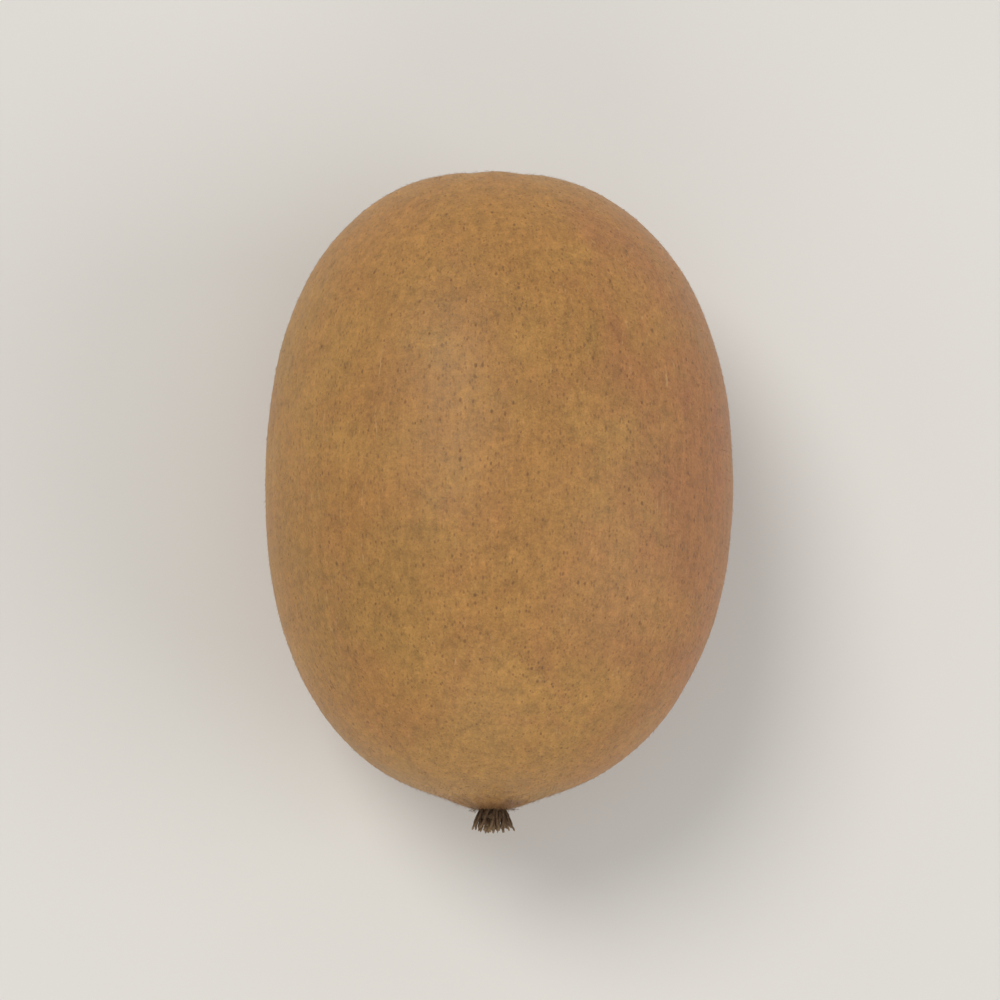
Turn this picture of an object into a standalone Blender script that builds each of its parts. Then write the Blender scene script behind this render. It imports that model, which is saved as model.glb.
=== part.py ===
# A whole golden kiwi fruit as picked, lying on its side.
# Run it with blender --background --python part.py, or from Blender's text editor.
# The long axis lies along Y: the stem end points to +Y and the blossom end to -Y.
# The fruit rests on a small flat spot of its belly, at Z = 0.

import math
import random

import bmesh
import bpy
from mathutils import Matrix, Vector

# Body of the fruit, in metres
LENGTH = 0.0760  # as if neither end had its pit or beak
WIDTH = 0.0565  # along X
THICKNESS = 0.0522  # along Z, before the belly is flattened
STEM_BLUNTNESS = 2.3  # exponent of the outline: 2 is an ellipse, more is a blunter barrel
BLOSSOM_BLUNTNESS = 2.2
BEND = 0.0007  # the middle stands this far to one side of the ends
FLAT_DEPTH = 0.00026  # how much of the belly the resting spot takes off

# Soft longitudinal flats: (how many round the fruit, share of the radius, phase, turn along the length)
LOBES = ((3, 0.008, 0.6, 0.5), (4, 0.006, 2.0, -0.4), (7, 0.0015, 1.1, 0.9))

# Stem end: a shallow pit whose wall is drawn into puckers
PIT_DEPTH = 0.0019
PIT_RADIUS = 0.0053
PUCKERS = ((9, 1.0, 0.0), (5, 0.6, 1.3))  # waves round the pit: how many, share of the depth, phase
PUCKER_DEPTH = 0.0002
PUCKER_PLACE = 0.0056  # distance from the axis where the puckers are deepest
PUCKER_SPREAD = 0.0024

# Blossom end: a low beak with a nearly level tip
BEAK_HEIGHT = 0.0011
BEAK_RADIUS = 0.0047
BEAK_STEEPNESS = 3.0

# Mesh of the body
SEGMENTS = 64
RINGS = 48
RING_CROWDING = 0.5  # draws the rings towards the two ends, where the detail is

# Dried calyx: a woody scar disc with a dished stub, and the sepals round it
CLEARANCE = 0.0003  # gap between the dried pieces and the skin
SCAR_PROFILE = (  # distance from the axis and height above the scar's lower rim
    (0.00000, 0.00095),
    (0.00120, 0.00112),
    (0.00146, 0.00135),
    (0.00168, 0.00120),
    (0.00176, 0.00086),
    (0.00215, 0.00074),
    (0.00250, 0.00050),
    (0.00262, 0.00024),
    (0.00245, 0.00000),
    (0.00120, -0.00020),
    (0.00000, -0.00026),
)
SCAR_RIM = 0.00245  # the lower rim's distance from the axis
SCAR_STEPS = 20
SEPALS = 5
SEPAL_ROOT = 0.0015  # distance from the axis where a sepal leaves the scar
SEPAL_LENGTH = (0.0026, 0.0036)  # shortest and longest
SEPAL_WIDTH = 0.0034  # at the root
SEPAL_TIP_WIDTH = 0.0007
SEPAL_POINT = 0.75  # how soon the sheet narrows: 1 is straight sided, less is fuller
SEPAL_THICKNESS = 0.0006
SEPAL_TIP_LIFT = (0.0, 0.0005)
SEPAL_WAVE = 0.0001
SEPAL_WAVE_RATE = 4.0  # radians from root to tip
SEPAL_CURL = 0.0004  # how far its sides stand up
SEPAL_SWAY = 0.0006  # how far its tip may bend to one side

# Dried styles: a low button with a whorl of stiff curled filaments
BUTTON_PROFILE = (  # distance from the axis and height above the middle of the button's underside
    (0.00000, 0.00078),
    (0.00070, 0.00084),
    (0.00130, 0.00076),
    (0.00175, 0.00048),
    (0.00192, 0.00012),
    (0.00178, -0.00008),
    (0.00100, -0.00002),
    (0.00000, 0.00000),
)
BUTTON_STEPS = 18
STYLE_RINGS = (  # how many, distance from the axis, lean outwards in degrees
    (15, 0.00145, 40.0),
    (10, 0.00095, 22.0),
    (5, 0.00045, 8.0),
)
STYLE_LENGTH = (0.0010, 0.0019)
STYLE_RADIUS = (0.00026, 0.00016)  # at the root and at the tip
STYLE_LEAN_SPREAD = 12.0  # how far a style strays from its ring's lean, in degrees
STYLE_CURL = (-15.0, 60.0)  # further lean of the tip, in degrees
STYLE_SWERVE = 35.0  # how far the tip may bend round to one side, in degrees
STYLE_SINK = 0.0004  # length of the root inside the button
STYLE_POINTS = 5

UNEVENNESS = 0.15  # how far a sepal or style strays from even spacing, as a share of the spacing
SEED = 7

WELD = 1e-6  # points nearer than this are one
CREASE = math.radians(30)  # edges sharper than this are shaded sharp

HALF_LENGTH = LENGTH / 2
STEM, BLOSSOM = 1, -1


def clear_scene():
    for thing in list(bpy.data.objects):
        bpy.data.objects.remove(thing, do_unlink=True)


def new_collection(name):
    made = bpy.data.collections.new(name)
    bpy.context.scene.collection.children.link(made)
    return made


def material(name, colour, roughness):
    made = bpy.data.materials.new(name)
    made.use_nodes = True
    made.diffuse_color = (*colour, 1.0)
    shader = made.node_tree.nodes["Principled BSDF"]
    shader.inputs["Base Color"].default_value = (*colour, 1.0)
    shader.inputs["Roughness"].default_value = roughness
    shader.inputs["Metallic"].default_value = 0.0
    return made


def add_mesh(name, bm, collection):
    mesh = bpy.data.meshes.new(name)
    bm.to_mesh(mesh)
    bm.free()
    thing = bpy.data.objects.new(name, mesh)
    collection.objects.link(thing)
    return thing


def bluntness(end):
    return STEM_BLUNTNESS if end == STEM else BLOSSOM_BLUNTNESS


def lobe_swell(around, along):
    # Share by which the soft flats change the radius at an angle and a place from -1 to 1 along the fruit.
    return 1 + sum(
        share * math.cos(count * around + phase + turn * along)
        for count, share, phase, turn in LOBES
    )


def end_relief(end, reach, around):
    # What the pit and its puckers, or the beak, add along the axis at a distance from it.
    if end == BLOSSOM:
        return -BEAK_HEIGHT * math.exp(-((reach / BEAK_RADIUS) ** BEAK_STEEPNESS))
    pit = -PIT_DEPTH * math.exp(-((reach / PIT_RADIUS) ** 2))
    band = math.exp(-(((reach - PUCKER_PLACE) / PUCKER_SPREAD) ** 2))
    waves = sum(share * math.cos(count * around + phase) for count, share, phase in PUCKERS)
    return pit + PUCKER_DEPTH * band * waves


def skin_point(down, around):
    # down is the angle from the stem pole, and around the angle about the long axis, from +Z towards +X.
    end = STEM if math.cos(down) >= 0 else BLOSSOM
    power = 2 / bluntness(end)
    along = end * abs(math.cos(down)) ** power
    share = math.sin(down) ** power * lobe_swell(around, along)
    across = Vector((math.sin(around) * WIDTH / 2, math.cos(around) * THICKNESS / 2)) * share
    y = along * HALF_LENGTH + end_relief(end, across.length, around)
    return Vector((across.x + BEND * (1 - along * along), y, across.y))


def skin_height(end, reach, around):
    # The skin's place along Y near an end, at a distance from the axis.
    radius = math.hypot(math.sin(around) * WIDTH / 2, math.cos(around) * THICKNESS / 2)
    share = reach / (radius * lobe_swell(around, end))
    n = bluntness(end)
    return end * HALF_LENGTH * (1 - share**n) ** (1 / n) + end_relief(end, reach, around)


def build_fruit(collection, skin):
    bm = bmesh.new()
    bmesh.ops.create_uvsphere(bm, u_segments=SEGMENTS, v_segments=RINGS, radius=1.0)
    for vertex in bm.verts:
        down = math.acos(max(-1.0, min(1.0, vertex.co.z)))
        down -= RING_CROWDING * math.sin(2 * down) / 2
        around = math.atan2(vertex.co.y, vertex.co.x)
        vertex.co = skin_point(down, around)
    bmesh.ops.recalc_face_normals(bm, faces=bm.faces)

    # The resting spot is a level cut just above the lowest point.
    level = min(vertex.co.z for vertex in bm.verts) + FLAT_DEPTH
    bmesh.ops.bisect_plane(
        bm,
        geom=list(bm.verts) + list(bm.edges) + list(bm.faces),
        dist=WELD,
        plane_co=(0, 0, level),
        plane_no=(0, 0, -1),
        clear_outer=True,
    )
    rim = [edge for edge in bm.edges if edge.is_boundary]
    bmesh.ops.contextual_create(bm, geom=rim)
    bmesh.ops.recalc_face_normals(bm, faces=bm.faces)

    fruit = add_mesh("fruit", bm, collection)
    fruit.data.shade_smooth()
    fruit.data.set_sharp_from_angle(angle=CREASE)
    fruit.data.materials.append(skin)
    return fruit, level


def turned(name, profile, steps, collection):
    # A profile about +Z that runs from its top on the axis to its underside, turned by a Screw modifier.
    bm = bmesh.new()
    verts = [bm.verts.new((distance, 0, height)) for distance, height in profile]
    for first, second in zip(verts, verts[1:]):
        bm.edges.new((first, second))
    thing = add_mesh(name, bm, collection)
    screw = thing.modifiers.new("turn", "SCREW")
    screw.axis = "Z"
    screw.steps = screw.render_steps = steps
    screw.use_merge_vertices = True
    screw.merge_threshold = 0.00001
    return thing


def sepal(name, turn, length, lift, wave_phase, collection):
    # One dried sepal: a pointed sheet that follows the pit's wall, curls at its sides and lifts at its tip.
    # side runs from -1 to 1 across the sheet, and out from 0 at its root to 1 at its tip.
    bm = bmesh.new()
    bmesh.ops.create_grid(bm, x_segments=4, y_segments=6, size=0.5)
    for vertex in bm.verts:
        side, out = vertex.co.x * 2, vertex.co.y + 0.5
        taper = (1 - out) ** SEPAL_POINT
        half_width = (SEPAL_TIP_WIDTH + (SEPAL_WIDTH - SEPAL_TIP_WIDTH) * taper) / 2
        reach = SEPAL_ROOT + length * out
        around = turn + (side * half_width + SEPAL_SWAY * math.sin(wave_phase) * out**2) / reach
        wave = SEPAL_WAVE * math.sin(SEPAL_WAVE_RATE * out + wave_phase)
        # The middle of the sheet clears the skin by its own half thickness, the gap and its wave.
        rise = CLEARANCE + SEPAL_THICKNESS / 2 + SEPAL_WAVE
        curl = SEPAL_CURL * side**2 * taper
        y = skin_height(STEM, reach, around) + rise + wave + curl + lift * out**2
        vertex.co = (reach * math.sin(around), y, reach * math.cos(around))
    bmesh.ops.triangulate(bm, faces=bm.faces)
    thing = add_mesh(name, bm, collection)
    thickness = thing.modifiers.new("thickness", "SOLIDIFY")
    thickness.thickness = SEPAL_THICKNESS
    thickness.offset = 0
    thickness.use_even_offset = True
    return thing


def style(name, turn, ring_reach, lean, draw, collection):
    # One dried style: a tapering tube that leaves the button and curls, as a curve about +Z.
    length = draw.uniform(*STYLE_LENGTH)
    first_lean = lean + draw.uniform(-STYLE_LEAN_SPREAD, STYLE_LEAN_SPREAD)
    tip_lean = first_lean + draw.uniform(*STYLE_CURL)
    swerve = math.radians(draw.uniform(-STYLE_SWERVE, STYLE_SWERVE))
    curve = bpy.data.curves.new(name, "CURVE")
    curve.dimensions = "3D"
    curve.bevel_depth = 1.0
    curve.bevel_resolution = 0
    curve.use_fill_caps = True
    spline = curve.splines.new("POLY")
    spline.points.add(STYLE_POINTS - 1)
    place = Vector((math.cos(turn), math.sin(turn), 0)) * ring_reach
    place.z = BUTTON_PROFILE[0][1] - STYLE_SINK
    step = (length + STYLE_SINK) / (STYLE_POINTS - 1)
    for index, point in enumerate(spline.points):
        share = index / (STYLE_POINTS - 1)
        point.co = (*place, 1)
        point.radius = STYLE_RADIUS[0] + (STYLE_RADIUS[1] - STYLE_RADIUS[0]) * share
        tilt = math.radians(first_lean + (tip_lean - first_lean) * share)
        heading = turn + swerve * share
        outwards = Vector((math.cos(heading), math.sin(heading), 0))
        place = place + step * (outwards * math.sin(tilt) + Vector((0, 0, math.cos(tilt))))
    tube = bpy.data.objects.new(name, curve)
    collection.objects.link(tube)
    return tube


def as_mesh(thing, collection):
    # The object's evaluated shape as a plain closed mesh, in place of the object.
    bpy.context.view_layer.update()
    evaluated = thing.evaluated_get(bpy.context.evaluated_depsgraph_get())
    mesh = bpy.data.meshes.new_from_object(evaluated)
    bm = bmesh.new()
    bm.from_mesh(mesh)
    bmesh.ops.remove_doubles(bm, verts=bm.verts, dist=WELD)
    bmesh.ops.recalc_face_normals(bm, faces=bm.faces)
    bm.transform(thing.matrix_world)
    name = thing.name
    bpy.data.objects.remove(thing, do_unlink=True)
    bpy.data.meshes.remove(mesh)
    return add_mesh(name, bm, collection)


def fused(base, growths, collection):
    # Joins the growths to the base by one Boolean union, and removes them.
    joined = new_collection(base.name + "_growths")
    for thing in growths:
        as_mesh(thing, joined)
    name = base.name
    base = as_mesh(base, collection)
    union = base.modifiers.new("union", "BOOLEAN")
    union.operation = "UNION"
    union.solver = "EXACT"
    union.operand_type = "COLLECTION"
    union.collection = joined
    made = as_mesh(base, collection)
    made.name = made.data.name = name
    for thing in list(joined.objects):
        bpy.data.objects.remove(thing, do_unlink=True)
    bpy.data.collections.remove(joined)
    return made


def turn_to_end(thing, end, y):
    # Points a shape made about +Z out of one end of the fruit, with its own origin at y.
    thing.matrix_world = Matrix.Translation((0, y, 0)) @ Matrix.Rotation(-end * math.pi / 2, 4, "X")


def furthest_skin(end, reach):
    # The skin's furthest place outwards along Y, round the axis at a distance from it.
    turns = [math.tau * turn / SEGMENTS for turn in range(SEGMENTS)]
    return end * max(end * skin_height(end, reach, turn) for turn in turns)


def build_calyx(collection, dried, draw):
    scar = turned("calyx", SCAR_PROFILE, SCAR_STEPS, collection)
    turn_to_end(scar, STEM, furthest_skin(STEM, SCAR_RIM) + CLEARANCE)
    sepals = []
    for index in range(SEPALS):
        turn = math.tau * (index + draw.uniform(-UNEVENNESS, UNEVENNESS)) / SEPALS
        length = draw.uniform(*SEPAL_LENGTH)
        lift = draw.uniform(*SEPAL_TIP_LIFT)
        phase = draw.uniform(0, math.tau)
        sepals.append(sepal(f"sepal_{index}", turn, length, lift, phase, collection))
    calyx = fused(scar, sepals, collection)
    calyx.data.materials.append(dried)
    return calyx


def build_styles(collection, dried, draw):
    button = turned("styles", BUTTON_PROFILE, BUTTON_STEPS, collection)
    underside = furthest_skin(BLOSSOM, 0.0) - CLEARANCE
    turn_to_end(button, BLOSSOM, underside)
    filaments = []
    for ring, (count, reach, lean) in enumerate(STYLE_RINGS):
        for index in range(count):
            turn = math.tau * (index + ring / 2 + draw.uniform(-UNEVENNESS, UNEVENNESS)) / count
            filament = style(f"style_{ring}_{index}", turn, reach, lean, draw, collection)
            turn_to_end(filament, BLOSSOM, underside)
            filaments.append(filament)
    whorl = fused(button, filaments, collection)
    whorl.data.materials.append(dried)
    return whorl


def stand_on_origin(pieces, level, collection):
    # Puts the resting spot at Z = 0, and the middle of the whole above the origin.
    corners = [piece.matrix_world @ vertex.co for piece in pieces for vertex in piece.data.vertices]
    middle_x = (min(c.x for c in corners) + max(c.x for c in corners)) / 2
    middle_y = (min(c.y for c in corners) + max(c.y for c in corners)) / 2
    axis = bpy.data.objects.new("long_axis", None)
    collection.objects.link(axis)
    axis.location = (-middle_x, -middle_y, -level)
    for piece in pieces:
        piece.parent = axis


def main():
    clear_scene()
    draw = random.Random(SEED)
    collection = new_collection("golden_kiwi_fruit")
    skin = material("bronze_skin", (0.40, 0.21, 0.08), 0.55)
    dried_sepals = material("dried_sepals", (0.13, 0.075, 0.035), 0.85)
    dried_styles = material("dried_styles", (0.09, 0.05, 0.028), 0.9)
    fruit, level = build_fruit(collection, skin)
    calyx = build_calyx(collection, dried_sepals, draw)
    styles = build_styles(collection, dried_styles, draw)
    stand_on_origin((fruit, calyx, styles), level, collection)


main()
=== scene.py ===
# Golden kiwi fruit lying on its side: fine shapes, finish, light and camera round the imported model.
# Everything is in metres. The stem end points to +Y, the blossom end to -Y, and it rests at Z = 0.

import math
import random

import bpy
import numpy as np
from mathutils import Matrix, Vector, noise


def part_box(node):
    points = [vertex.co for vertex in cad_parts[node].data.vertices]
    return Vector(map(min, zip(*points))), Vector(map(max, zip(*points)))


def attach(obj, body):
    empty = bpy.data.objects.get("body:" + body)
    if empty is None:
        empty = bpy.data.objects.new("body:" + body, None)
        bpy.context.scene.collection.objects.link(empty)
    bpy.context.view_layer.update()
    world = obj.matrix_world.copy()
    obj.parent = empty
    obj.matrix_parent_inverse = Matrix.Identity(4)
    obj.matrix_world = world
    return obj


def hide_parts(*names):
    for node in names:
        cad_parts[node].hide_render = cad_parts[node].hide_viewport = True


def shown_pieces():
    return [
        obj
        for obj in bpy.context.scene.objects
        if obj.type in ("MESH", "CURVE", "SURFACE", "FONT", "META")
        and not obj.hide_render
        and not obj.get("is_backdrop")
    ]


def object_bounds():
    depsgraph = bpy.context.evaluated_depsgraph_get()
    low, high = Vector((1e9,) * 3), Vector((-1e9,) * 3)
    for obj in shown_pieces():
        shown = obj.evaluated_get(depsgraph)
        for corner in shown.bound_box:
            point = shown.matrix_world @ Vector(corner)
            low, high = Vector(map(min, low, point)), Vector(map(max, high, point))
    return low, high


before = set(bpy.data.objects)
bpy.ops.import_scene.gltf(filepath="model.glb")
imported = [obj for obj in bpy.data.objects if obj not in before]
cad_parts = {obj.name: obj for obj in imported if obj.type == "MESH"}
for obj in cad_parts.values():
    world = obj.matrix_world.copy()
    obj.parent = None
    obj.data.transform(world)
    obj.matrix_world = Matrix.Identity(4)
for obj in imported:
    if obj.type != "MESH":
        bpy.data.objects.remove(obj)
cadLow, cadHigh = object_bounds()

mm = 0.001
tinyWeld = 1e-6


# Working by hand: selecting, editing, applying

def pick(*things):
    bpy.ops.object.select_all(action="DESELECT")
    for thing in things:
        thing.select_set(True)
    bpy.context.view_layer.objects.active = things[0]


def edit(thing):
    pick(thing)
    bpy.ops.object.mode_set(mode="EDIT")


def stopEditing():
    bpy.ops.object.mode_set(mode="OBJECT")


def selectVerts(thing, rule):
    # Selects the points of a piece in edit mode that a rule on their place picks.
    bpy.ops.mesh.select_mode(type="VERT")
    bpy.ops.mesh.select_all(action="DESELECT")
    stopEditing()
    for vertex in thing.data.vertices:
        vertex.select = bool(rule(vertex.co))
    bpy.ops.object.mode_set(mode="EDIT")


def selectEndFace(thing):
    # Selects the one face that lies furthest along +Z.
    bpy.ops.mesh.select_mode(type="FACE")
    bpy.ops.mesh.select_all(action="DESELECT")
    stopEditing()
    top = max(thing.data.polygons, key=lambda face: face.center.z + mm * face.normal.z)
    top.select = True
    bpy.ops.object.mode_set(mode="EDIT")


def pushEndFace(up, inwards=0.0, scale=1.0):
    # Draws the chosen end face inwards, or out of the piece.
    if inwards:
        bpy.ops.mesh.inset(thickness=inwards, depth=0)
    else:
        bpy.ops.mesh.extrude_region_move(TRANSFORM_OT_translate={"value": (0, 0, 0)})
    bpy.ops.transform.translate(value=(0, 0, up))
    if scale != 1.0:
        bpy.ops.transform.resize(value=(scale, scale, 1), center_override=(0, 0, 0))


def newest(name):
    thing = bpy.context.object
    thing.name = thing.data.name = name
    return thing


def addModifier(thing, kind, **settings):
    made = thing.modifiers.new(kind.lower(), kind)
    for key, value in settings.items():
        setattr(made, key, value)
    return made


def applyAll(thing):
    pick(thing)
    for made in list(thing.modifiers):
        bpy.ops.object.modifier_apply(modifier=made.name)


def settle(thing):
    # Moves a piece's place, turn and scale into its mesh.
    pick(thing)
    bpy.ops.object.transform_apply(location=True, rotation=True, scale=True)


def copyOf(thing, name):
    made = bpy.data.objects.new(name, thing.data.copy())
    bpy.context.scene.collection.objects.link(made)
    return made


def remove(thing):
    bpy.data.objects.remove(thing, do_unlink=True)


def joinAs(name, things):
    pick(*things)
    bpy.ops.object.join()
    return newest(name)


def faceOut(thing):
    edit(thing)
    bpy.ops.mesh.select_all(action="SELECT")
    bpy.ops.mesh.remove_doubles(threshold=tinyWeld)
    bpy.ops.mesh.normals_make_consistent(inside=False)
    stopEditing()


def roughen(thing, name, size, height, depth=2):
    # Uneven relief that only sinks in, so that the piece never grows past its own outline.
    clouds = bpy.data.textures.new(name, "CLOUDS")
    clouds.noise_scale = size
    clouds.noise_depth = depth
    addModifier(
        thing, "DISPLACE", texture=clouds, texture_coords="LOCAL", strength=height, mid_level=1.0,
    )


# The fruit's own axis runs through the tip of the low beak

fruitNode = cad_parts["fruit"]
beakTip = min((vertex.co for vertex in fruitNode.data.vertices), key=lambda place: place.y).copy()
axisX, axisZ = beakTip.x, beakTip.z


def aroundAxis(place):
    # Distance from the axis, and the angle about it from +Z towards +X.
    across, up = place.x - axisX, place.z - axisZ
    return math.hypot(across, up), math.atan2(across, up)


def awayFromAxis(turn, reach, y):
    return Vector((axisX + reach * math.sin(turn), y, axisZ + reach * math.cos(turn)))


def pointOut(thing, end, y):
    # Points a piece that was made about +Z out of one end: 1 is the stem end, -1 the blossom end.
    place = Matrix.Translation((axisX, y, axisZ))
    thing.matrix_world = place @ Matrix.Rotation(-end * math.pi / 2, 4, "X")
    settle(thing)


# Skin

skinShape = {
    "coarseCuts": 13,
    "fineCuts": 8,
    "targetLevels": 3,
    "smoothing": (0.5, 4),  # strength and rounds
    "inset": 0.06 * mm,  # room for the down inside the model's own outline
    "swells": (9.0 * mm, 0.20 * mm),  # size and height of the broad unevenness
    "dimples": (2.2 * mm, 0.06 * mm),
    "grain": (0.8 * mm, 0.026 * mm),
    "stemWrinkles": (4.9 * mm, 2.4 * mm, 0.17 * mm),  # their ring's middle and spread, their depth
    "beakWrinkles": (4.0 * mm, 1.8 * mm, 0.09 * mm),
    "wrinkleReach": 2.0,  # how far out they run, in times the stem ring's middle
    "wrinkleCounts": ((17, 1.0), (26, 0.7), (37, 0.5)),  # how many, and how deep in shares
    "wrinkleGap": 0.4,  # how much of each crease is left smooth
    "wrinkleSway": (3.0 * mm, 0.06),
}


def smoothTarget():
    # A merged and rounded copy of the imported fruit, which the fine skin is drawn onto.
    target = copyOf(fruitNode, "skinTarget")
    edit(target)
    bpy.ops.mesh.select_all(action="SELECT")
    bpy.ops.mesh.remove_doubles(threshold=tinyWeld)
    bpy.ops.mesh.tris_convert_to_quads()
    stopEditing()
    levels = skinShape["targetLevels"]
    addModifier(target, "SUBSURF", levels=levels, render_levels=levels)
    applyAll(target)
    return target


def wrinkleEnds(skin):
    # Fine creases that run into the stem pit and round the foot of the beak.
    farthest = skinShape["stemWrinkles"][0] * skinShape["wrinkleReach"]
    swaySize, sway = skinShape["wrinkleSway"]
    counts = skinShape["wrinkleCounts"]
    normals = [vertex.normal.copy() for vertex in skin.data.vertices]
    for vertex, normal in zip(skin.data.vertices, normals):
        reach, turn = aroundAxis(vertex.co)
        if reach > farthest:
            continue
        middle, spread, depth = skinShape["stemWrinkles" if vertex.co.y > 0 else "beakWrinkles"]
        band = math.exp(-(((reach - middle) / spread) ** 2))
        turn += sway * noise.noise(vertex.co / swaySize)
        waves = sum(share * math.sin(count * turn + count * count) for count, share in counts)
        vertex.co += normal * depth * band * min(waves - skinShape["wrinkleGap"], 0.0)


def makeSkin():
    target = smoothTarget()
    low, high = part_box("fruit")
    bpy.ops.mesh.primitive_cube_add(size=2, location=(low + high) / 2)
    skin = newest("skin")
    edit(skin)
    bpy.ops.mesh.select_all(action="SELECT")
    bpy.ops.mesh.subdivide(number_cuts=skinShape["coarseCuts"])
    bpy.ops.mesh.subdivide(number_cuts=skinShape["fineCuts"])
    bpy.ops.transform.tosphere(value=1.0)
    stopEditing()
    skin.scale = (high - low) / 2 / max(vertex.co.length for vertex in skin.data.vertices)
    settle(skin)
    addModifier(
        skin, "SHRINKWRAP", target=target, wrap_method="PROJECT",
        use_negative_direction=True, use_positive_direction=True,
    )
    strength, rounds = skinShape["smoothing"]
    addModifier(skin, "SMOOTH", factor=strength, iterations=rounds)
    applyAll(skin)
    remove(target)
    wrinkleEnds(skin)
    addModifier(skin, "DISPLACE", strength=-skinShape["inset"], mid_level=0.0)
    for name in ("swells", "dimples", "grain"):
        roughen(skin, name, *skinShape[name])
    applyAll(skin)
    for vertex in skin.data.vertices:
        vertex.co.z = max(vertex.co.z, 0.0)  # the belly is level where it rests
    faceOut(skin)
    return skin


# Down: a sparse, very short fuzz, closer set at the two ends

downShape = {
    "hairs": 13000,
    "length": (0.22 * mm, 0.5 * mm),
    "endLength": 2.0,  # how much longer it is at the ends
    "thickness": 0.030 * mm,
    "endThickness": 1.4,
    "rootRadius": 0.5,  # in times its thickness
    "bendRadius": 0.32,
    "bendAt": 0.5,  # how far up it bends over, as a share of its length
    "bend": 2.0,  # how far its tip bends over, in times its thickness
    "tip": 0.15,  # how much of its width is left at the tip
    "lean": (50.0, 78.0),  # degrees from upright
    "spread": 0.55,
    "endPull": 6.0,  # how much closer set it is at the ends
    "endBand": 8.0 * mm,
    "endStart": 20.0 * mm,
    "seed": 5,
}


def modelHair():
    # One hair, a unit high: a slim cone that narrows and bends over.
    down = downShape
    bendAt, tip = down["bendAt"], down["tip"]
    bpy.ops.mesh.primitive_cone_add(
        vertices=3, radius1=down["rootRadius"], radius2=down["bendRadius"], depth=bendAt,
        location=(0, 0, bendAt / 2),
    )
    hair = newest("hair")
    settle(hair)
    edit(hair)
    selectEndFace(hair)
    bpy.ops.mesh.extrude_region_move(TRANSFORM_OT_translate={"value": (0, 0, 1 - bendAt)})
    bpy.ops.transform.resize(value=(tip, tip, 1))
    bpy.ops.transform.translate(value=(down["bend"], 0, 0))
    bpy.ops.mesh.select_all(action="SELECT")
    bpy.ops.mesh.quads_convert_to_tris()
    stopEditing()
    return hair


def makeDown(skin):
    down = downShape
    chance = np.random.default_rng(down["seed"])
    mesh = skin.data
    count = len(mesh.polygons)
    centres, normals, areas = np.zeros(count * 3), np.zeros(count * 3), np.zeros(count)
    mesh.polygons.foreach_get("center", centres)
    mesh.polygons.foreach_get("normal", normals)
    mesh.polygons.foreach_get("area", areas)
    centres, normals = centres.reshape(-1, 3), normals.reshape(-1, 3)
    reach = np.hypot(centres[:, 0] - axisX, centres[:, 2] - axisZ)
    atEnds = np.exp(-((reach / down["endBand"]) ** 2)) * (np.abs(centres[:, 1]) > down["endStart"])
    weight = areas * (1 + down["endPull"] * atEnds)
    chosen = chance.choice(count, down["hairs"], replace=False, p=weight / weight.sum())
    place, normal, near = centres[chosen], normals[chosen], atEnds[chosen]

    # Each hair leans towards the blossom end, with some spread
    comb = np.array((0.0, -1.0, 0.0)) + chance.normal(0, down["spread"], (len(chosen), 3))
    comb -= normal * (comb * normal).sum(1, keepdims=True)
    comb /= np.linalg.norm(comb, axis=1, keepdims=True)
    tilt = np.radians(chance.uniform(*down["lean"], len(chosen)))[:, None]
    up = normal * np.cos(tilt) + comb * np.sin(tilt)
    side = np.cross(up, comb)
    side /= np.linalg.norm(side, axis=1, keepdims=True)
    front = np.cross(side, up)
    length = chance.uniform(*down["length"], len(chosen)) * (1 + (down["endLength"] - 1) * near)
    thick = down["thickness"] * (1 + (down["endThickness"] - 1) * near)

    # One mesh holds a copy of the hair at each place, kept inside the solids' box
    hair = modelHair()
    shape = np.array([vertex.co for vertex in hair.data.vertices])
    faces = np.array([tuple(face.vertices) for face in hair.data.polygons])
    remove(hair)
    points = (
        place[:, None]
        + front[:, None] * (shape[None, :, 0:1] * thick[:, None, None])
        + side[:, None] * (shape[None, :, 1:2] * thick[:, None, None])
        + up[:, None] * (shape[None, :, 2:3] * length[:, None, None])
    ).reshape(-1, 3)
    points = np.clip(points, np.array(cadLow), np.array(cadHigh))
    every = (faces[None] + (np.arange(len(chosen)) * len(shape))[:, None, None]).reshape(-1, 3)
    mesh = bpy.data.meshes.new("down")
    mesh.from_pydata(points.tolist(), [], every.tolist())
    made = bpy.data.objects.new("down", mesh)
    bpy.context.scene.collection.objects.link(made)
    return made


# Stem end: the woody scar with its dished stub

scarShape = {
    "sides": 40,
    "discRadius": 2.55 * mm,
    "sink": 0.9 * mm,  # how far it goes down into the pit
    "discHeight": 0.38 * mm,
    "slope": (0.25 * mm, 0.05 * mm),  # how far inwards, and how far up
    "collarRise": 0.06 * mm,
    "stubRadius": 1.72 * mm,
    "stubHeight": 0.88 * mm,
    "stubTaper": 0.93,
    "rim": 0.36 * mm,
    "rimRise": 0.06 * mm,
    "rimFall": 0.10 * mm,
    "dish": 0.46 * mm,
    "dishTaper": 0.84,
    "heart": (  # how far inwards, and how far up or down, in the floor of the dish
        (0.4 * mm, 0.10 * mm),
        (0.2 * mm, 0.12 * mm),
        (0.15 * mm, -0.16 * mm),
    ),
    "levels": 3,
    "lumps": (0.9 * mm, 0.34 * mm),
    "grain": (0.2 * mm, 0.10 * mm),
    "tear": (0.48 * mm, 0.75 * mm),  # size and depth of the broken places along the rim
    "tearMore": 0.1,  # how much more of the rim is torn than whole
    "tearFrom": 0.6,  # how far up the stub they start
    "tearBand": 0.3 * mm,
    "ridges": (21, 13),  # how many fibres run down its side, fine and broad
    "ridgeShares": (1.0, 0.7),
    "ridgeDepth": 0.07 * mm,
    "ridgeSway": 5.0,
    "core": 0.7 * mm,
    "startY": 0.12 * mm,
}


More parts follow.
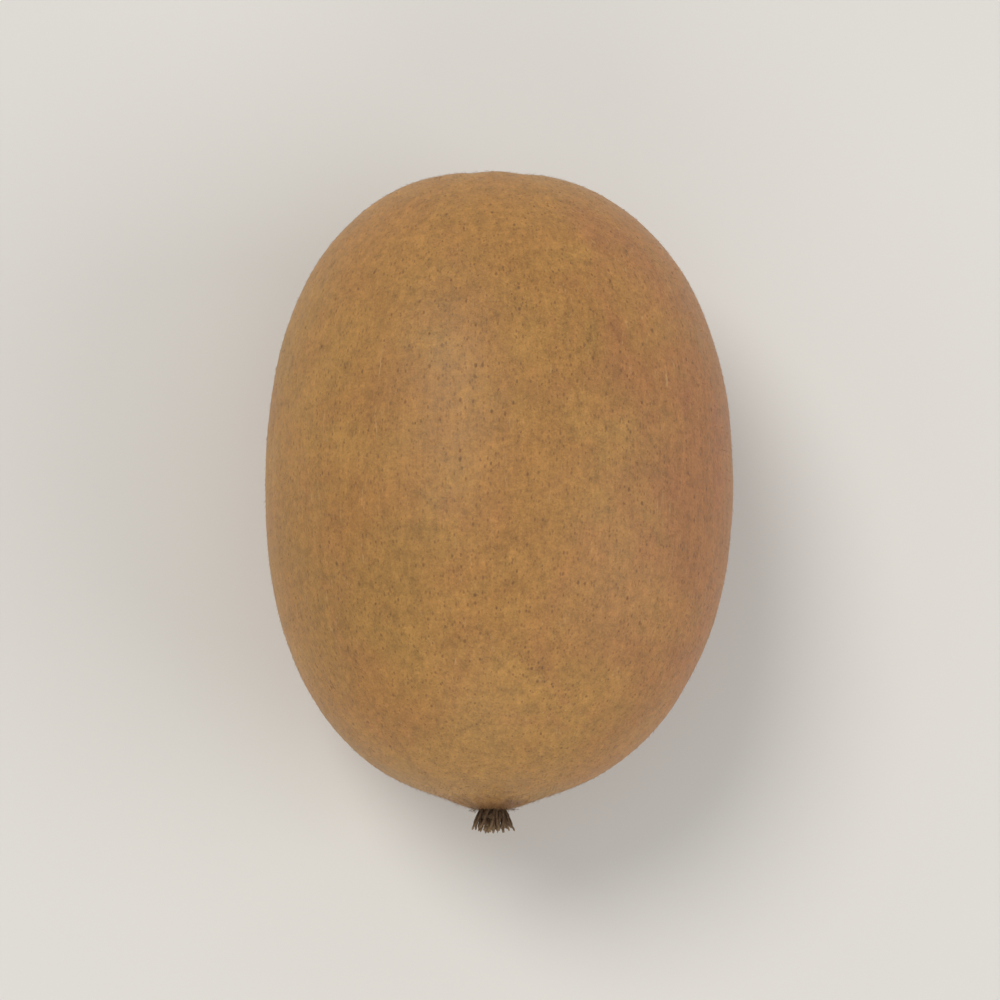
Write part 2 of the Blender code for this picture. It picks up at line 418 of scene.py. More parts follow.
def makeScar():
    # A disc whose end face is drawn up into a stub, and down again into its dish.
    scar = scarShape
    depth = scar["sink"] + scar["discHeight"]
    slope, slopeRise = scar["slope"]
    bpy.ops.mesh.primitive_cylinder_add(
        vertices=scar["sides"], radius=scar["discRadius"], depth=depth,
        location=(0, 0, scar["discHeight"] - depth / 2),
    )
    stub = newest("stemScar")
    settle(stub)
    edit(stub)
    selectEndFace(stub)
    pushEndFace(slopeRise, inwards=slope)
    pushEndFace(scar["collarRise"], inwards=scar["discRadius"] - scar["stubRadius"] - slope)
    pushEndFace(scar["stubHeight"], scale=scar["stubTaper"])
    pushEndFace(scar["rimRise"], inwards=scar["rim"] / 2)
    pushEndFace(-scar["rimFall"], inwards=scar["rim"] / 2)
    pushEndFace(-scar["dish"], scale=scar["dishTaper"])
    for inwards, up in scar["heart"]:
        pushEndFace(up, inwards=inwards)
    stopEditing()
    addModifier(stub, "SUBSURF", levels=scar["levels"], render_levels=scar["levels"])
    roughen(stub, "scarLumps", *scar["lumps"])
    roughen(stub, "scarGrain", *scar["grain"], depth=3)
    applyAll(stub)
    fray(stub)
    pointOut(stub, 1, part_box("calyx")[0].y + scar["startY"])
    return stub


def fray(stub):
    # The stub's rim is torn where the stalk broke off, and its side is ridged with fibres.
    scar = scarShape
    tearSize, tearDepth = scar["tear"]
    fine, broad = scar["ridges"]
    fineShare, broadShare = scar["ridgeShares"]
    rimStart = scar["discHeight"] + scar["stubHeight"] * scar["tearFrom"]
    for vertex in stub.data.vertices:
        reach, turn = vertex.co.xy.length, math.atan2(vertex.co.y, vertex.co.x)
        sway = noise.noise(vertex.co / mm) * scar["ridgeSway"]
        wave = fineShare * math.sin(fine * turn + sway) + broadShare * math.sin(broad * turn - sway)
        if reach > scar["core"]:
            sunk = wave - (fineShare + broadShare)  # never above 0, so the side only sinks in
            vertex.co.xy *= 1 + sunk * scar["ridgeDepth"] / 2 / reach
        torn = max(0.0, noise.noise(vertex.co / tearSize) + scar["tearMore"]) * tearDepth
        vertex.co.z -= min(1.0, max(0.0, vertex.co.z - rimStart) / scar["tearBand"]) * torn


# Stem end: withered sepals that lie round the scar

sepalShape = {
    "count": 5,
    "apart": math.radians(45),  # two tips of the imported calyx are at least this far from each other
    "root": 1.2 * mm,
    "rootWidth": 2.9 * mm,
    "middleWidth": 2.6 * mm,
    "tipWidth": 0.35 * mm,
    "belly": (0.55, 0.8),  # how far it fills out to its middle width, and how squarely
    "wideness": (0.8, 1.12),
    "rise": 0.26 * mm,  # how far its middle stands off the skin
    "tipLift": 0.35 * mm,
    "cup": 0.42 * mm,
    "cupFade": 0.4,  # how much of the cup is lost at the tip
    "curl": (0.3, 1.7),
    "bend": (-0.5 * mm, 0.5 * mm),
    "tilt": (-0.12 * mm, 0.12 * mm),
    "ridge": 0.07 * mm,
    "ridgeTurns": 14.0,  # how close set its lengthwise ridges are
    "ridgeFade": 0.6,
    "tear": (7.0, 0.16),  # how close set the tears along its edges are, and how deep
    "thickness": 0.17 * mm,
    "columns": 11,
    "rows": 17,
    "levels": 2,
    "crinkle": (1.1 * mm, 0.30 * mm),
    "fibre": (0.3 * mm, 0.09 * mm),
    "startAbove": 2.0 * mm,
    "seed": 11,
}


def sepalTips():
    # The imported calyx's furthest points from the axis, one for each sepal.
    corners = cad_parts["calyx"].data.vertices
    tips = []
    for reach, turn in sorted((aroundAxis(vertex.co) for vertex in corners), reverse=True):
        gaps = [abs((turn - other + math.pi) % math.tau - math.pi) for _, other in tips]
        if len(tips) < sepalShape["count"] and all(gap > sepalShape["apart"] for gap in gaps):
            tips.append((reach, turn))
    return sorted(tips, key=lambda tip: tip[1])


def modelSepal():
    # One flat sepal, a unit long, that points along +X from its root and tapers to its tip.
    sepal = sepalShape
    fullness, squareness = sepal["belly"]
    bpy.ops.mesh.primitive_grid_add(
        x_subdivisions=sepal["rows"], y_subdivisions=sepal["columns"], size=1, location=(0.5, 0, 0),
    )
    pattern = newest("sepalPattern")
    settle(pattern)
    rows = sorted({round(vertex.co.x, 5) for vertex in pattern.data.vertices})
    edit(pattern)
    for x in rows:
        straight = sepal["rootWidth"] + (sepal["tipWidth"] - sepal["rootWidth"]) * x
        bulge = math.sin(math.pi * x) ** squareness * fullness
        width = straight + (sepal["middleWidth"] - straight) * bulge
        selectVerts(pattern, lambda place, x=x: abs(place.x - x) < mm)
        bpy.ops.transform.resize(value=(1, width, 1), center_override=(x, 0, 0))
    stopEditing()
    return pattern


def laySepal(pattern, skin, index, reach, turn, chance):
    # Lays a copy of the sepal on the pit's wall, from the scar out to its tip, then curls it.
    sepal = sepalShape
    laid = copyOf(pattern, f"sepal{index}")
    wide, curl = chance.uniform(*sepal["wideness"]), chance.uniform(*sepal["curl"])
    bend, tilt = chance.uniform(*sepal["bend"]), chance.uniform(*sepal["tilt"])
    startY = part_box("calyx")[1].y + sepal["startAbove"]
    tearing, tearDepth = sepal["tear"]
    shares = []
    for vertex in laid.data.vertices:
        out, side = vertex.co.x, vertex.co.y * wide
        edge = (out * tearing, math.copysign(4, side), index * 9)  # no two edges tear alike
        side *= 1 + tearDepth * noise.noise(edge)
        shares.append((out, side / (sepal["rootWidth"] / 2)))
        away = sepal["root"] + out * (reach - sepal["root"])
        vertex.co = awayFromAxis(turn + (side + bend * out * out) / away, away, startY)
    addModifier(
        laid, "SHRINKWRAP", target=skin, wrap_method="PROJECT", use_project_y=True,
        use_negative_direction=True, use_positive_direction=False,
    )
    applyAll(laid)
    size, height = sepal["crinkle"]
    shift = Vector((index * 7, 0, 0))  # so that no two sepals crinkle alike
    for vertex, (out, side) in zip(laid.data.vertices, shares):
        lift = sepal["rise"] + sepal["cup"] * curl * side * side * (1 - sepal["cupFade"] * out)
        lift += sepal["tipLift"] * curl * out * out + tilt * side
        lift += sepal["ridge"] * math.cos(side * sepal["ridgeTurns"]) * (1 - sepal["ridgeFade"] * out)
        vertex.co.y += lift + height * noise.noise(vertex.co / size + shift)
    addModifier(laid, "SOLIDIFY", thickness=sepal["thickness"], offset=0.0)
    addModifier(laid, "SUBSURF", levels=sepal["levels"], render_levels=sepal["levels"])
    roughen(laid, f"sepalFibre{index}", *sepal["fibre"])
    applyAll(laid)
    return laid


def makeSepals(skin):
    chance = random.Random(sepalShape["seed"])
    pattern = modelSepal()
    laid = [laySepal(pattern, skin, index, *tip, chance) for index, tip in enumerate(sepalTips())]
    remove(pattern)
    return joinAs("sepals", laid)


# Blossom end: the button, its tuft of dried styles and the stubble round it

buttonShape = {
    "sides": 36,
    "radius": 1.85 * mm,
    "sink": 0.8 * mm,
    "height": 0.55 * mm,
    "crown": ((0.35 * mm, 0.14 * mm), (0.45 * mm, 0.06 * mm), (0.45 * mm, 0.02 * mm)),  # inwards, up
    "levels": 3,
    "lumps": (0.55 * mm, 0.42 * mm),
    "grain": (0.15 * mm, 0.12 * mm),
    "startY": 0.05 * mm,
}

tuftShape = {
    "rings": (  # how many, millimetres from the axis, degrees of lean
        (22, 1.35, 23.0),
        (18, 1.05, 18.0),
        (14, 0.7, 12.0),
        (8, 0.35, 6.0),
    ),
    "jitter": 0.3,  # how unevenly they stand in their ring, in times the space between two
    "steps": 11,
    "sides": 8,
    "thickness": (0.23, 0.16),  # radius in millimetres at the root and near the tip
    "knob": (0.18, 0.10),
    "stoutness": (0.8, 1.3),
    "levels": 1,
    "lumps": (0.22 * mm, 0.09 * mm),
    "length": (2.15 * mm, 2.95 * mm),
    "sink": 0.35 * mm,  # how deep each one is rooted in the skin
    "leanSpread": 9.0,
    "curl": (-40.0, 32.0),  # degrees of lean that it gains or loses by its tip
    "swerve": 65.0,
    "wobble": 0.22,
    "seed": 23,
}

stubbleShape = {
    "count": 64,
    "jitter": 0.5,
    "reach": (1.7 * mm, 2.35 * mm),
    "steps": 4,
    "sides": 5,
    "thickness": (0.07, 0.035),
    "knob": (0.04, 0.02),
    "stoutness": (0.8, 1.2),
    "length": (0.35 * mm, 0.85 * mm),
    "sink": 0.12 * mm,
    "lean": (15.0, 70.0),
    "curl": (0.0, 25.0),
    "swerve": 30.0,
    "wobble": 0.12,
}


def makeButton():
    shape = buttonShape
    depth = shape["sink"] + shape["height"]
    bpy.ops.mesh.primitive_cylinder_add(
        vertices=shape["sides"], radius=shape["radius"], depth=depth,
        location=(0, 0, depth / 2 - shape["sink"]),
    )
    button = newest("styleButton")
    settle(button)
    edit(button)
    selectEndFace(button)
    for inwards, up in shape["crown"]:
        pushEndFace(up, inwards=inwards)
    stopEditing()
    addModifier(button, "SUBSURF", levels=shape["levels"], render_levels=shape["levels"])
    roughen(button, "buttonLumps", *shape["lumps"])
    roughen(button, "buttonGrain", *shape["grain"])
    applyAll(button)
    pointOut(button, -1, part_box("styles")[1].y - shape["startY"])
    return button


def modelFilament(name, shape):
    # One straight filament along +Z, a unit long: a ring drawn out step by step as it thins.
    root, tip = shape["thickness"]
    steps = shape["steps"]
    widths = [root + (tip - root) * step / steps for step in range(1, steps - 1)]
    widths += shape["knob"]
    bpy.ops.mesh.primitive_circle_add(vertices=shape["sides"], radius=root * mm, fill_type="NGON")
    filament = newest(name)
    edit(filament)
    bpy.ops.mesh.select_all(action="SELECT")
    last = root
    for width in widths:
        bpy.ops.mesh.extrude_region_move(TRANSFORM_OT_translate={"value": (0, 0, 1 / steps)})
        bpy.ops.transform.resize(value=(width / last, width / last, 1), center_override=(0, 0, 0))
        last = width
    stopEditing()
    return filament


def leaning(turn, lean):
    # A direction out of the blossom end that leans away from the axis, by degrees.
    slant = math.radians(lean)
    return awayFromAxis(turn, math.sin(slant), -math.cos(slant)) - Vector((axisX, 0, axisZ))


def onSkin(skin, turn, reach):
    # The place on the blossom end's skin at that turn and distance from the axis.
    outside = awayFromAxis(turn, reach, cadLow.y - mm)
    return skin.ray_cast(outside, (0, 1, 0))[1]


def layFilament(pattern, name, shape, root, turn, lean, chance):
    # A copy of the filament that grows from its root and curls outwards.
    laid = copyOf(pattern, name)
    steps = shape["steps"]
    length = (chance.uniform(*shape["length"]) + shape["sink"]) / steps
    start = leaning(turn, lean)
    swerve = math.radians(chance.uniform(-1, 1) * shape["swerve"])
    goal = leaning(turn + swerve, lean + chance.uniform(*shape["curl"]))
    stout = chance.uniform(*shape["stoutness"])
    spot = root + Vector((0, shape["sink"], 0))
    spots, turns = [], []
    for step in range(steps + 1):
        heading = start.lerp(goal, step / steps).normalized()
        heading += Vector([chance.uniform(-1, 1) * shape["wobble"] for _ in range(3)])
        heading.normalize()
        if step:
            spot = spot + heading * length
        spots.append(spot)
        turns.append(Vector((0, 0, 1)).rotation_difference(heading))
    for vertex in laid.data.vertices:
        step = round(vertex.co.z * steps)
        across = Vector((vertex.co.x * stout, vertex.co.y * stout, 0))
        vertex.co = spots[step] + turns[step] @ across
    return laid


def makeTuft(skin):
    tuft, stubble = tuftShape, stubbleShape
    chance = random.Random(tuft["seed"])
    pattern = modelFilament("stylePattern", tuft)
    jitter = tuft["jitter"]
    grown = []
    for ring, (count, reach, lean) in enumerate(tuft["rings"]):
        for index in range(count):
            turn = math.tau * (index + ring / 2 + chance.uniform(-jitter, jitter)) / count
            tilt = lean + chance.uniform(-1, 1) * tuft["leanSpread"]
            root = onSkin(skin, turn, reach * mm)
            name = f"style{len(grown)}"
            grown.append(layFilament(pattern, name, tuft, root, turn, tilt, chance))
    remove(pattern)

    pattern = modelFilament("stubblePattern", stubble)
    count, jitter = stubble["count"], stubble["jitter"]
    for index in range(count):
        turn = math.tau * (index + chance.uniform(-jitter, jitter)) / count
        reach, lean = chance.uniform(*stubble["reach"]), chance.uniform(*stubble["lean"])
        root = onSkin(skin, turn, reach)
        grown.append(layFilament(pattern, f"stubble{index}", stubble, root, turn, lean, chance))
    remove(pattern)

    made = joinAs("driedStyles", grown)
    faceOut(made)
    addModifier(made, "SUBSURF", levels=tuft["levels"], render_levels=tuft["levels"])
    roughen(made, "styleLumps", *tuft["lumps"])
    applyAll(made)
    for vertex in made.data.vertices:
        vertex.co = Vector(map(max, cadLow, map(min, cadHigh, vertex.co)))  # inside the solids' box
    return made


# Shader desk: sums on sockets are written as plain sums

class Wire:
    def __init__(self, desk, socket):
        self.desk = desk
        self.socket = socket

    def sum(self, operation, first, second=0.0, clamp=False):
        settings = {"operation": operation, "use_clamp": clamp}
        return self.desk.add("ShaderNodeMath", settings, {0: first, 1: second})

    def __add__(self, other):
        return self.sum("ADD", self, other)

    def __radd__(self, other):
        return self.sum("ADD", other, self)

    def __sub__(self, other):
        return self.sum("SUBTRACT", self, other)

    def __rsub__(self, other):
        return self.sum("SUBTRACT", other, self)

    def __mul__(self, other):
        return self.sum("MULTIPLY", self, other)

    def __rmul__(self, other):
        return self.sum("MULTIPLY", other, self)

    def __truediv__(self, other):
        return self.sum("DIVIDE", self, other)

    def clamped(self):
        return self.sum("ADD", self, 0.0, clamp=True)

    def squareRoot(self):
        return self.sum("SQRT", self)

    def angleFrom(self, other):
        return self.sum("ARCTAN2", self, other)


class Desk:
    def __init__(self, name, shelf=bpy.data.materials):
        self.material = shelf.new(name)
        self.material.use_nodes = True
        self.tree = self.material.node_tree
        self.tree.nodes.clear()

    def add(self, kind, settings, sockets, out=0):
        # Makes a node: its settings first, then the values or links of its sockets.
        node = self.tree.nodes.new(kind)
        for key, value in settings.items():
            setattr(node, key, value)
        for key, value in sockets.items():
            if isinstance(value, Wire):
                self.tree.links.new(value.socket, node.inputs[key])
            else:
                node.inputs[key].default_value = value
        return Wire(self, node.outputs[out]) if node.outputs else None

    def placeInMm(self):
        here = self.add("ShaderNodeTexCoord", {}, {}, "Object")
        return self.stretched(here, (1 / mm, 1 / mm, 1 / mm))

    def stretched(self, place, scale):
        return self.add("ShaderNodeMapping", {}, {"Vector": place, "Scale": scale})

    def split(self, place):
        return [self.add("ShaderNodeSeparateXYZ", {}, {0: place}, axis) for axis in "XYZ"]

    def combine(self, x, y, z):
        return self.add("ShaderNodeCombineXYZ", {}, {0: x, 1: y, 2: z})

    def polar(self, place):
        # The angle about the fruit's axis, the distance from it, and the place along it.
        x, y, z = self.split(place)
        acrossX, acrossZ = x - axisX / mm, z - axisZ / mm
        return acrossX.angleFrom(acrossZ), (acrossX * acrossX + acrossZ * acrossZ).squareRoot(), y

    def clouds(self, place, size, detail=3.0, rough=0.5, warp=0.0):
        # Soft unevenness between 0 and 1, of about that size in millimetres.
        sockets = {
            "Vector": place, "Scale": 1 / size,
            "Detail": detail, "Roughness": rough, "Distortion": warp,
        }
        return self.add("ShaderNodeTexNoise", {}, sockets, "Fac")

    def flecks(self, place, size, small, large, faint):
        # Round flecks about that size apart, each of its own size and strength, and 0 between them.
        cells = {"Vector": place, "Scale": 1 / size, "Randomness": 1.0}
        away = self.add("ShaderNodeTexVoronoi", {}, cells, "Distance")
        lotA, lotB, _ = self.split(self.add("ShaderNodeTexVoronoi", {}, cells, "Color"))
        inside = self.ramp(away / (lotB * (large - small) + small), 1.0, 0.35)
        return inside * self.ramp(lotA, faint, 1.0)

    def network(self, place, size, width):
        # Thin lines between cells about that size.
        cells = {"Vector": place, "Scale": 1 / size, "Randomness": 1.0}
        away = self.add("ShaderNodeTexVoronoi", {"feature": "DISTANCE_TO_EDGE"}, cells)
        return self.ramp(away, width, 0.0)

    def ramp(self, value, low, high):
        # 0 at low and 1 at high, and smooth between them.
        ends = (low, high, 0.0, 1.0) if low < high else (high, low, 1.0, 0.0)
        sockets = {"Value": value, **dict(zip(("From Min", "From Max", "To Min", "To Max"), ends))}
        return self.add("ShaderNodeMapRange", {"interpolation_type": "SMOOTHSTEP"}, sockets)

    def mix(self, factor, first, second, blend="MIX"):
        colours = (first, second)
        first, second = (one if isinstance(one, Wire) else (*one, 1.0) for one in colours)
        settings = {"data_type": "RGBA", "blend_type": blend}
        return self.add("ShaderNodeMix", settings, {0: factor, 6: first, 7: second}, 2)

    def shaded(self, colour, tone):
        return self.mix(1.0, colour, self.combine(tone, tone, tone), "MULTIPLY")

    def bump(self, height, distance):
        return self.add("ShaderNodeBump", {}, {"Height": height, "Distance": distance})

    def finish(self, sockets):
        shader = self.add("ShaderNodeBsdfPrincipled", {}, sockets)
        self.add("ShaderNodeOutputMaterial", {}, {"Surface": shader})
        return self.material


def fromScreen(red, green, blue):
    # A colour as a screen shows it, in the linear values that a shader takes.
    return tuple(((part / 255 + 0.055) / 1.055) ** 2.4 for part in (red, green, blue))


skinFinish = {
    "tan": fromScreen(169, 124, 62),
    "bronze": fromScreen(163, 115, 57),
    "olive": fromScreen(149, 115, 56),
    "warm": fromScreen(179, 127, 65),
    "redBrown": fromScreen(157, 100, 62),
    # dark brown of both ends, partly the skin's own colour and partly painted shade in the stem pit
    "pitBrownAndShade": fromScreen(104, 65, 34),
    "fleck": fromScreen(88, 53, 30),
    "pale": fromScreen(208, 171, 116),
    "patch": 15.0,  # sizes in millimetres
    "drift": 6.5,
    "mottle": 2.4,
    "dust": 0.9,
    "streak": 0.75,
    "rub": 0.7,
    "grain": 0.26,
    "freckles": (0.85, 0.12, 0.30, 0.2),  # how far apart, least and greatest size, and the faintest
    "specks": (0.42, 0.24, 0.50, 0.0),
    "net": (0.62, 0.10),  # size of its cells, width of its lines
    "oliveShare": 0.38,  # how strong each one is
    "warmShare": 0.40,
    "sideBlush": 0.68,
    "bellyBlush": 0.30,
    "spotBlush": 0.30,
    "mottleTone": 0.66,
    "streakTone": 0.46,
    "grainTone": 0.84,
    "dustTone": 0.84,
    "freckleShare": 0.60,
    "speckShare": 0.48,
    "netShare": 0.05,
    "rubShare": 0.30,
    "roughness": (0.42, 0.58),
    "relief": 0.040 * mm,
}


def skinMaterial():
    look = skinFinish
    desk = Desk("goldenSkin")
    place = desk.placeInMm()
    x, _, z = desk.split(place)
    turn, reach, along = desk.polar(place)
    patches = desk.clouds(place, look["patch"], 3, 0.55, 0.5)
    green = desk.clouds(desk.stretched(place, (1.1, 0.7, 0.9)), look["patch"], 2, 0.5, 0.3)
    drift = desk.clouds(desk.stretched(place, (1.0, 0.45, 1.0)), look["drift"], 4, 0.62, 0.7)
    mottle = desk.clouds(place, look["mottle"], 5, 0.62, 0.5)
    dust = desk.clouds(place, look["dust"], 4, 0.7)
    grain = desk.clouds(place, look["grain"], 3, 0.7)
    streaks = desk.clouds(desk.stretched(place, (1.0, 0.06, 1.0)), look["streak"], 4, 0.65, 0.3)

    # Broad colour: tan and bronze with a trace of olive, and warmer at the stem end
    colour = desk.mix(desk.ramp(patches, 0.34, 0.66), look["tan"], look["bronze"])
    colour = desk.mix(desk.ramp(green, 0.45, 0.72) * look["oliveShare"], colour, look["olive"])
    stemwards = desk.ramp(along + (drift - 0.5) * 16, 18.0, 33.0)
    colour = desk.mix(stemwards * look["warmShare"], colour, look["warm"])

    # Redder on one side, low down and in loose spots
    blush = desk.ramp(x + (patches - 0.5) * 22 + (mottle - 0.5) * 8, 5.0, 25.0) * look["sideBlush"]
    blush = blush + desk.ramp(z + (drift - 0.5) * 20, 18.0, 2.0) * look["bellyBlush"]
    blush = blush + desk.ramp(drift, 0.50, 0.74) * look["spotBlush"]
    colour = desk.mix(blush.clamped(), colour, look["redBrown"])

    # Fine colour: mottling, lengthwise streaks, grain, flecks and pale rubbed places
    tone = 1.0 + look["mottleTone"] * (mottle - 0.5) + look["streakTone"] * (streaks - 0.5)
    tone = tone + look["grainTone"] * (grain - 0.5) + look["dustTone"] * (dust - 0.5)
    colour = desk.shaded(colour, tone)
    lengthwise = desk.stretched(place, (1.0, 0.62, 1.0))
    freckles = desk.flecks(lengthwise, *look["freckles"])
    specks = desk.flecks(desk.stretched(lengthwise, (1.0, 0.9, 1.1)), *look["specks"])
    net = desk.network(desk.stretched(lengthwise, (1.0, 1.0, 0.95)), *look["net"])
    rubs = desk.clouds(desk.stretched(place, (1.3, 0.14, 1.3)), look["rub"], 3, 0.6, 0.4)
    rubbed = desk.ramp(rubs, 0.60, 0.74) * desk.ramp(drift, 0.44, 0.60)
    colour = desk.mix(freckles * look["freckleShare"], colour, look["fleck"])
    colour = desk.mix(specks * look["speckShare"], colour, look["fleck"])
    colour = desk.mix(net * look["netShare"], colour, look["fleck"])
    colour = desk.mix(rubbed * look["rubShare"], colour, look["pale"])

    # Both ends are darker towards the scar and the beak: partly the skin's own darker ends, partly
    # painted shade in the stem pit
    ragged = reach + (mottle - 0.5) * 6 + (dust - 0.5) * 2
    atStem = desk.ramp(along, 30.0, 36.0) * desk.ramp(ragged, 8.5, 2.2)
    atBeak = desk.ramp(along, -31.0, -35.5) * desk.ramp(ragged, 6.8, 1.6)
    rays = desk.clouds(desk.combine(turn * 5, reach * 0.35, along * 0.3), 1.0, 3, 0.6)
    pitDarkAndShade = (atStem * (0.45 + 0.8 * rays) + atBeak * (0.5 + 0.6 * rays)).clamped()
    colour = desk.mix(pitDarkAndShade, colour, look["pitBrownAndShade"])

    low, high = look["roughness"]
    rough = low + (high - low) * mottle + 0.16 * (grain - 0.5) + 0.08 * freckles + 0.10 * pitDarkAndShade
    relief = grain * 0.6 + dust * 1.0 + freckles * 0.7 + specks * 0.3 - net * 0.16 + streaks * 0.35
    return desk.finish({
        "Base Color": colour,
        "Roughness": rough.clamped(),
        "Normal": desk.bump(relief, look["relief"]),
        "Subsurface Weight": 0.05,
        "Subsurface Radius": (1.0, 0.45, 0.2),
        "Subsurface Scale": 1.0 * mm,
        "Specular IOR Level": 0.46,
        "Sheen Weight": 0.10,
        "Sheen Roughness": 0.45,
        "Sheen Tint": (*fromScreen(232, 198, 148), 1.0),
    })


def downMaterial():
    desk = Desk("downHairs")
    tone = desk.clouds(desk.placeInMm(), 1.5, 2, 0.5)
    colour = desk.mix(tone, fromScreen(128, 92, 56), fromScreen(186, 148, 100))
    return desk.finish({"Base Color": colour, "Roughness": 0.6, "Specular IOR Level": 0.3})


driedFinish = {
    "scarDark": fromScreen(58, 37, 21),
    "scarPale": fromScreen(132, 95, 57),
    "scarBroken": fromScreen(176, 138, 92),
    "sepalDark": fromScreen(70, 44, 25),
    "sepalPale": fromScreen(146, 104, 62),
    "styleDark": fromScreen(68, 48, 32),
    "stylePale": fromScreen(158, 130, 96),
}


def scarMaterial():
    desk = Desk("woodyScar")
    place = desk.placeInMm()
    turn, reach, along = desk.polar(place)
    fibres = desk.clouds(desk.combine(turn * 5, reach * 0.6, along * 0.5), 0.6, 4, 0.65, 0.4)
    rings = desk.clouds(desk.combine(turn * 0.5, reach * 3.2, along), 0.7, 3, 0.6, 0.3)
    lumps = desk.clouds(place, 0.7, 4, 0.6, 0.3)
    grain = desk.clouds(place, 0.10, 2, 0.6)
    tone = desk.ramp(fibres, 0.36, 0.64) * 0.6 + (lumps - 0.3) * 0.6 + (grain - 0.5) * 0.4
    colour = desk.mix(tone.clamped(), driedFinish["scarDark"], driedFinish["scarPale"])
    broken = desk.ramp(along + (lumps - 0.5) * 0.5, 39.25, 39.65) * desk.ramp(rings, 0.30, 0.60)
    colour = desk.mix(broken * 0.75, colour, driedFinish["scarBroken"])
    return desk.finish({
        "Base Color": colour,
        "Roughness": (0.8 + 0.2 * (grain - 0.5)).clamped(),
        "Normal": desk.bump(fibres * 0.8 + rings * 0.5 + grain * 0.5, 0.07 * mm),
        "Specular IOR Level": 0.3,
    })


def sepalMaterial():
    desk = Desk("papery")
    place = desk.placeInMm()
    turn, reach, along = desk.polar(place)
    veins = desk.clouds(desk.combine(turn * 19, reach * 0.4, along * 0.2), 0.7, 4, 0.65, 0.5)
    lumps = desk.clouds(place, 0.9, 4, 0.62, 0.4)
    grain = desk.clouds(place, 0.11, 2, 0.6)
    tone = desk.ramp(veins, 0.34, 0.68) * 0.42 + desk.ramp(lumps, 0.32, 0.70) * 0.5
    tone = tone + (grain - 0.5) * 0.4
    colour = desk.mix(tone.clamped(), driedFinish["sepalDark"], driedFinish["sepalPale"])
    return desk.finish({
        "Base Color": colour,
        "Roughness": (0.72 + 0.2 * (grain - 0.5)).clamped(),
        "Normal": desk.bump(veins * 1.0 + lumps * 0.5 + grain * 0.4, 0.06 * mm),
        "Specular IOR Level": 0.3,
        "Sheen Weight": 0.1,
    })


def styleMaterial(name, paleFrom, paleTo):
    # Dark and dusty, and paler from one place along the fruit to another.
    desk = Desk(name)
    place = desk.placeInMm()
    along = desk.split(place)[1]
    lumps = desk.clouds(place, 0.45, 4, 0.62)
    grain = desk.clouds(place, 0.09, 2, 0.6)
    tip = desk.ramp(along + (lumps - 0.5) * 1.6, paleFrom, paleTo)
    tone = tip * 0.6 + (lumps - 0.38) * 1.1 + (grain - 0.5) * 0.4
    colour = desk.mix(tone.clamped(), driedFinish["styleDark"], driedFinish["stylePale"])
    return desk.finish({
        "Base Color": colour,
        "Roughness": (0.74 + 0.2 * (grain - 0.5)).clamped(),
        "Normal": desk.bump(grain + lumps, 0.03 * mm),
        "Specular IOR Level": 0.3,
    })


# Floor, light and camera

stageSetup = {
    "floorSize": 8.0,
    "floorColour": fromScreen(223, 220, 214),
    "floorShade": (60.0, 0.04),  # size in millimetres and strength of its faint unevenness
    "airAbove": fromScreen(185, 187, 189),
    "airBeyond": fromScreen(224, 221, 215),  # as pale as the lit floor, so that no edge shows
    "airBand": (0.10, 0.40),  # between which heights the one passes into the other
    "lights": (  # name, where it shines from, how wide it looks in degrees, strength and colour
        ("key", (-0.90, 0.80, 1.90), 25.0, 1.21, (1.0, 0.975, 0.94)),
        ("fill", (1.60, -0.40, 1.20), 45.0, 0.73, (0.98, 0.99, 1.0)),
        ("front", (-0.20, -1.80, 0.90), 37.0, 0.40, (1.0, 0.98, 0.96)),
    ),
    "fromFruit": (-0.053, -0.073, 0.550),  # the camera's place from the middle of the fruit
    "lens": 168.0,
}


def makeFloor():
    bpy.ops.mesh.primitive_plane_add(size=stageSetup["floorSize"], location=(0, 0, 0))
    floor = newest("floor")
    desk = Desk("paleFloor")
    size, strength = stageSetup["floorShade"]
    shade = (1 - strength / 2) + strength * desk.clouds(desk.placeInMm(), size)
    colour = desk.shaded(stageSetup["floorColour"], shade)
    matt = {"Base Color": colour, "Roughness": 1.0, "Specular IOR Level": 0.0}
    floor.data.materials.append(desk.finish(matt))
    floor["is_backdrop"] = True


def makeLight(name, place, width, strength, colour, aim):
    # A wide soft lamp that lights the floor evenly.
    light = bpy.data.lights.new(name, "SUN")
    light.angle = math.radians(width)
    light.energy = strength
    light.color = colour
    lamp = bpy.data.objects.new(name, light)
    lamp.location = place
    lamp.rotation_euler = (aim - lamp.location).to_track_quat("-Z", "Y").to_euler()
    bpy.context.scene.collection.objects.link(lamp)


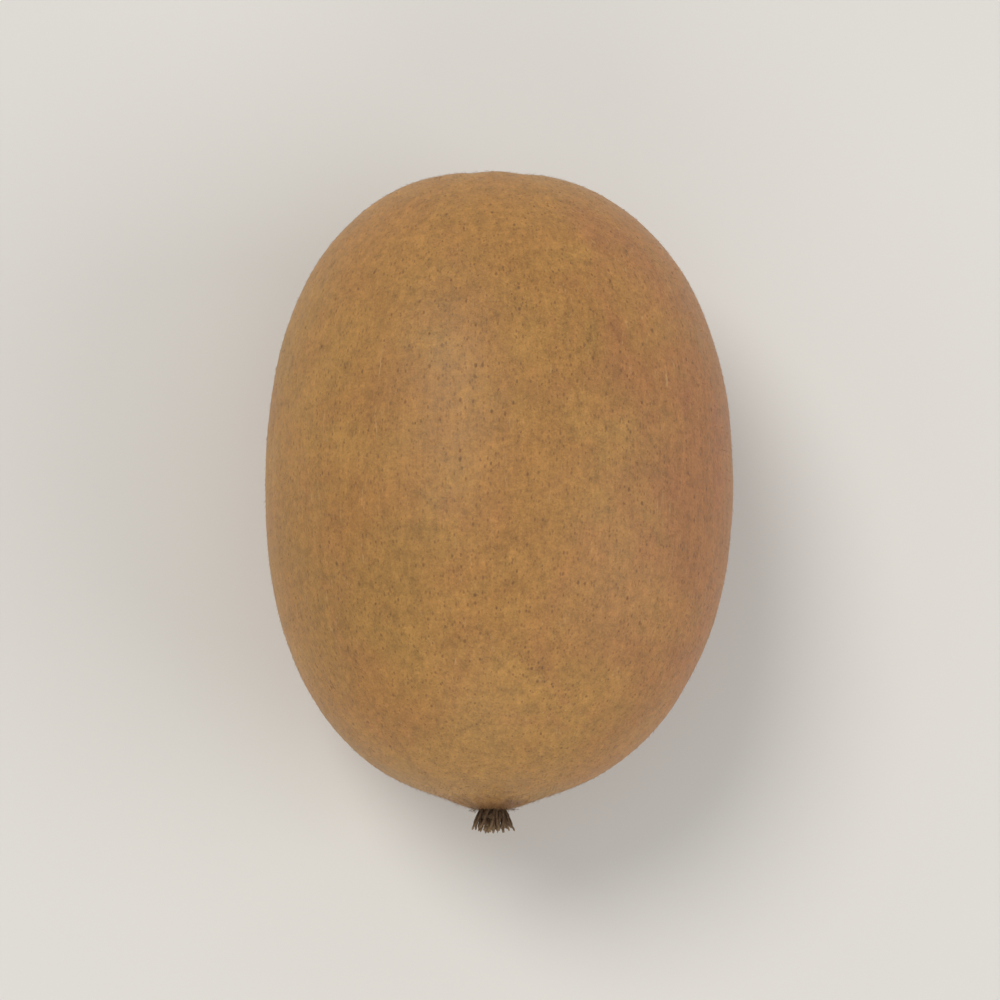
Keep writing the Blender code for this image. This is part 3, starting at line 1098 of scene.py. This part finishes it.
def makeCamera(aim):
    camera = bpy.data.objects.new("camera", bpy.data.cameras.new("camera"))
    bpy.context.scene.collection.objects.link(camera)
    camera.data.lens = stageSetup["lens"]
    camera.data.clip_start = 0.01
    back = Vector(stageSetup["fromFruit"])
    camera.location = aim + back
    back.normalize()
    right = Vector((0, 1, 0)).cross(back).normalized()  # the photo's upward direction is +Y
    camera.rotation_euler = Matrix((right, back.cross(right), back)).transposed().to_euler()
    bpy.context.scene.camera = camera


def makeStudio():
    scene = bpy.context.scene
    middle = (cadLow + cadHigh) / 2
    makeFloor()
    for light in stageSetup["lights"]:
        makeLight(*light, middle)
    makeCamera(middle)
    desk = Desk("softAir", bpy.data.worlds)
    height = desk.split(desk.add("ShaderNodeTexCoord", {}, {}, "Generated"))[2]
    high = desk.ramp(height, *stageSetup["airBand"])
    air = desk.mix(high, stageSetup["airBeyond"], stageSetup["airAbove"])
    shader = desk.add("ShaderNodeBackground", {}, {"Color": air, "Strength": 1.0})
    desk.add("ShaderNodeOutputWorld", {}, {"Surface": shader})
    scene.world = desk.material
    scene.view_settings.view_transform = "Standard"


def ready(piece, slot, material, *nodes):
    # Gives a finished piece its finish, and hides the imported nodes that it stands for.
    piece.data.materials.clear()
    piece.data.materials.append(material)
    pick(piece)
    bpy.ops.object.shade_smooth()
    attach(piece, "root")
    if nodes:
        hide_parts(*nodes)


def makeFruit():
    print("skin")
    skin = makeSkin()
    print("down")
    down = makeDown(skin)
    print("stem scar and sepals")
    scar, sepals = makeScar(), makeSepals(skin)
    print("button and dried styles")
    button, styles = makeButton(), makeTuft(skin)
    for piece in (scar, sepals, button):
        faceOut(piece)
    print("finishes")
    ready(skin, "skin", skinMaterial(), "fruit")
    ready(down, "skin", downMaterial())
    ready(scar, "dried_sepals", scarMaterial(), "calyx")
    ready(sepals, "dried_sepals", sepalMaterial(), "calyx")
    ready(button, "dried_styles", styleMaterial("driedButton", -37.8, -38.6), "styles")
    ready(styles, "dried_styles", styleMaterial("driedFibre", -38.2, -40.0), "styles")


makeFruit()
print("floor, light and camera")
makeStudio()
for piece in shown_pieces():
    print(piece.name, sum(len(face.vertices) - 2 for face in piece.data.polygons), "triangles")
print("done")
